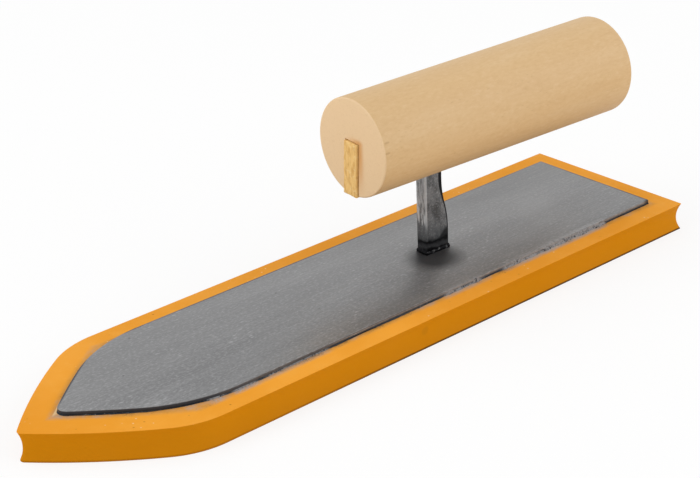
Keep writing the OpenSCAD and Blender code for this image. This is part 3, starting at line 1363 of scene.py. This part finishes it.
@dataclass
class Grip:
    """Turned wooden handle, slotted for the tang, and the strip that fills its slot."""

    shank: Shank
    front: float = 4.7 * MM
    length: float = 114.0 * MM
    front_r: float = 17.0 * MM
    back_r: float = 17.5 * MM
    rim_r: float = 0.6 * MM
    back_rim_r: float = 1.6 * MM
    slot_gap: float = 0.1 * MM
    slot_past: float = 10.0 * MM
    mortise_lap: float = 2.5 * MM
    strip_gap: float = 0.05 * MM
    strip_joint: float = 0.4 * MM
    strip_proud: float = 0.7 * MM
    strip_edge_r: float = 0.25 * MM
    strip_rough: float = 0.20 * MM
    strip_waves: tuple[Span, ...] = ((1.0, 700.0), (0.6, 1900.0))
    strip_torn_l: float = 1.5 * MM
    strip_cuts: int = 15
    strip_roll: float = -3.4
    turn_steps: int = 128
    side_steps: int = 6
    rim_steps: int = 6
    wood: TurnedWoodFinish = TurnedWoodFinish()
    strip: StripWoodFinish = StripWoodFinish()

    def __post_init__(self) -> None:
        """Reads the height that the solids set and works out the slot."""
        self.axis_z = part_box("handle")[1].z - self.back_r
        self.axis_start = Vector((self.front, 0.0, self.axis_z))
        self.back = self.front + self.length
        self.slot_half = self.shank.tang_w / 2 + self.slot_gap
        self.slot_roof = self.shank.tang_top + self.slot_gap
        self.slot_back = self.shank.front + self.shank.top_l + self.slot_gap

    def build_handle(self) -> Piece:
        """Turns the handle from its half section and cuts the slot and mortise for the tang.

        Returns:
            The handle.
        """
        desk = Desk.at_point("handle", self.axis_start)
        rim, back_rim = self.rim_r, self.back_rim_r
        front_centre = Vector((self.front + rim, 0.0, self.axis_z + self.front_r - rim))
        back_centre = Vector((self.back - back_rim, 0.0, self.axis_z + self.back_r - back_rim))
        desk.draw(Axis.Z.by(self.front_r - rim))
        desk.sweep(front_centre, Axis.Y, math.pi / 2, self.rim_steps)
        desk.draw(back_centre - front_centre + Axis.Z.by(back_rim - rim), self.side_steps)
        desk.sweep(back_centre, Axis.Y, math.pi / 2, self.rim_steps)
        desk.draw(Axis.Z.by(back_rim - self.back_r))
        desk.take_all()
        desk.sweep(self.axis_start, Axis.X, 2 * math.pi, self.turn_steps)
        desk.close()
        half, roof = self.slot_half, self.slot_roof
        under = self.axis_z - self.back_r - self.slot_past
        slot_low = Vector((self.front - self.slot_past, -half, under))
        slot = block("slot", slot_low, Vector((self.shank.front, half, roof)))
        self._roll(slot)
        post_low = Vector((self.shank.front - self.slot_gap, -half, under))
        notch = block("notch", post_low, Vector((self.slot_back, half, roof)))
        floor = roof - self.shank.tang_h - 2 * self.slot_gap
        mortise_low = Vector((self.slot_back - self.mortise_lap, -half, floor))
        mortise_high = Vector((self.shank.tang_end + self.slot_gap, half, roof))
        for cutter in (slot, notch, block("mortise", mortise_low, mortise_high)):
            combine(desk.piece, cutter, "DIFFERENCE")
        self.shank.turn.apply(desk.piece)
        return smooth_below(desk.piece, 30.0)

    def _roll(self, piece: Piece) -> None:
        """Leans the strip or its slot a little about the handle's axis."""
        rotate(piece, Axis.X, math.radians(self.strip_roll), self.axis_start)

    def build_strip(self) -> Piece:
        """Shapes the filler strip, with soft edges and a torn front end.

        Returns:
            The strip.
        """
        half = self.slot_half - self.strip_gap
        bottom = self.axis_z - self.front_r
        low = Vector((self.front - self.strip_proud, self.strip_joint - half, bottom))
        high = Vector((self.shank.front - self.strip_gap, half, self.slot_roof - self.strip_joint))
        strip = block("slot_filler_visual", low, high)
        modify(strip, "BEVEL", width=self.strip_edge_r, segments=2)
        desk = Desk(strip)
        bpy.ops.mesh.subdivide(number_cuts=self.strip_cuts)
        desk.take_all()

        def tear(point: Vector) -> Vector:
            """Roughens one point near the front end."""
            near = 1.0 - min(1.0, (point.x - low.x) / self.strip_torn_l)
            return point + Axis.X.by(self.strip_rough * near * max(-0.6, lumps(point, self.strip_waves)))

        desk.move(tear)
        desk.leave()
        self._roll(strip)
        self.shank.turn.apply(strip)
        return smooth_below(strip, 40.0)

    def build(self) -> None:
        """Builds and dresses the handle and its strip."""
        turn = self.shank.turn
        slot = Vector((self.front, -self.slot_half, self.slot_roof))
        wood = self.wood.material(turn, self.front, self.back, slot)
        hand_over(self.build_handle(), "handle", wood)
        hand_over(self.build_strip(), "slot_filler", self.strip.material(turn))


@dataclass(frozen=True)
class Lamp:
    """One soft area lamp, aimed at the object."""

    name: str
    place: tuple[float, float, float]
    size: float
    power: float

    def build(self, target: Vector) -> None:
        """Hangs the lamp and turns it to the target.

        Args:
            target: The point that it faces.
        """
        bpy.ops.object.light_add(type="AREA", location=self.place)
        lamp = bpy.context.object
        lamp.name = self.name
        lamp.data.shape = "DISK"
        lamp.data.size = self.size
        lamp.data.energy = self.power
        lamp.rotation_euler = (target - lamp.location).to_track_quat("-Z", "Y").to_euler()


@dataclass
class Studio:
    """Pale floor, soft light and the camera."""

    place: Vector = field(default_factory=lambda: Vector((-0.357374, -0.417485, 0.284340)))
    azimuth: float = -40.6495
    elevation: float = 24.9734
    roll: float = 2.3899
    lens: float = 94.68
    sensor: float = 36.0
    nearest: float = 0.01
    ambient: float = 0.635
    white: Colour = (1.0, 1.0, 1.0)
    floor_tone: Colour = (0.93, 0.93, 0.93)
    bounce_tone: Colour = (0.88, 0.80, 0.68)
    floor_glow: float = 0.8
    floor_size: float = 12.0
    lamp_target_h: float = 20.0 * MM
    lamps: tuple[Lamp, ...] = (
        Lamp("top_lamp", (-0.30, 0.60, 1.20), 1.2, 3.7),
        Lamp("front_lamp", (0.85, -0.95, 0.65), 1.4, 8.0),
        Lamp("left_lamp", (-1.19, 0.28, 0.70), 0.8, 5.0),
    )

    def build_camera(self) -> None:
        """Sets the camera at the photograph's place and angle."""
        turn, lift, roll = (math.radians(v) for v in (self.azimuth, self.elevation, self.roll))
        level = Vector((math.sin(turn), -math.cos(turn), 0.0))
        back = level * math.cos(lift) + Axis.Z.by(math.sin(lift))
        right = (-back).cross(Axis.Z.by(1.0)).normalized()
        down = (-back).cross(right)
        across = math.cos(roll) * right + math.sin(roll) * down
        up = math.sin(roll) * right - math.cos(roll) * down
        bpy.ops.object.camera_add(location=self.place)
        camera = bpy.context.object
        camera.name = "camera"
        facing = Matrix((across, up, back)).transposed().to_4x4()
        camera.matrix_world = Matrix.Translation(self.place) @ facing
        camera.data.lens = self.lens
        camera.data.sensor_width = self.sensor
        camera.data.clip_start = self.nearest
        bpy.context.scene.camera = camera

    def build_floor(self) -> None:
        """Lays the floor, which looks white to the camera and keeps the object's shadow."""
        bpy.ops.object.select_all(action="DESELECT")
        bpy.ops.mesh.primitive_plane_add(size=self.floor_size)
        floor = bpy.context.object
        floor.name = "floor"
        graph = Graph("floor_white")
        path = graph.node("ShaderNodeLightPath")
        seen = path.out("Is Camera Ray")
        tone = graph.layers(self.bounce_tone, (seen.most(path.out("Is Glossy Ray")), self.floor_tone))
        graph.set(Base_Color=tone, Roughness=0.95, Specular_IOR_Level=0.1)
        glow = graph.node("ShaderNodeEmission", None, {"Color": self.white, "Strength": 1.0})
        surface = Sock(graph, graph.shader.outputs[0])
        blend = graph.node("ShaderNodeMixShader", None,
                           {0: seen * self.floor_glow, 1: surface, 2: glow.out()})
        graph.join(graph.tree.nodes["Material Output"].inputs["Surface"], blend.out())
        floor.data.materials.append(graph.owner)

    def build_world(self) -> None:
        """Gives even white light all round, and a white ground to the camera and to metal."""
        graph = Graph("studio", for_world=True)
        path = graph.node("ShaderNodeLightPath")
        seen = path.out("Is Camera Ray")
        for name in ("Is Glossy Ray", "Is Transmission Ray"):
            seen = seen.most(path.out(name))
        links = {"Value": seen, "To Min": self.ambient, "To Max": 1.0}
        level = graph.node("ShaderNodeMapRange", None, links).out("Result")
        graph.set(Color=self.white, Strength=level)
        bpy.context.scene.world = graph.owner

    def build(self) -> None:
        """Builds the whole studio."""
        self.build_camera()
        self.build_floor()
        self.build_world()
        for lamp in self.lamps:
            lamp.build(Axis.Z.by(self.lamp_target_h))
        bpy.context.scene.view_settings.view_transform = "Standard"


def main() -> None:
    """Builds the trowel and its studio, piece by piece."""
    logging.basicConfig(level=logging.INFO, format="%(name)s %(message)s")
    Studio().build()
    shank = Shank()
    Sole().build(shank.foot_middle)
    shank.build()
    Grip(shank).build()


if __name__ == "__main__":
    main()
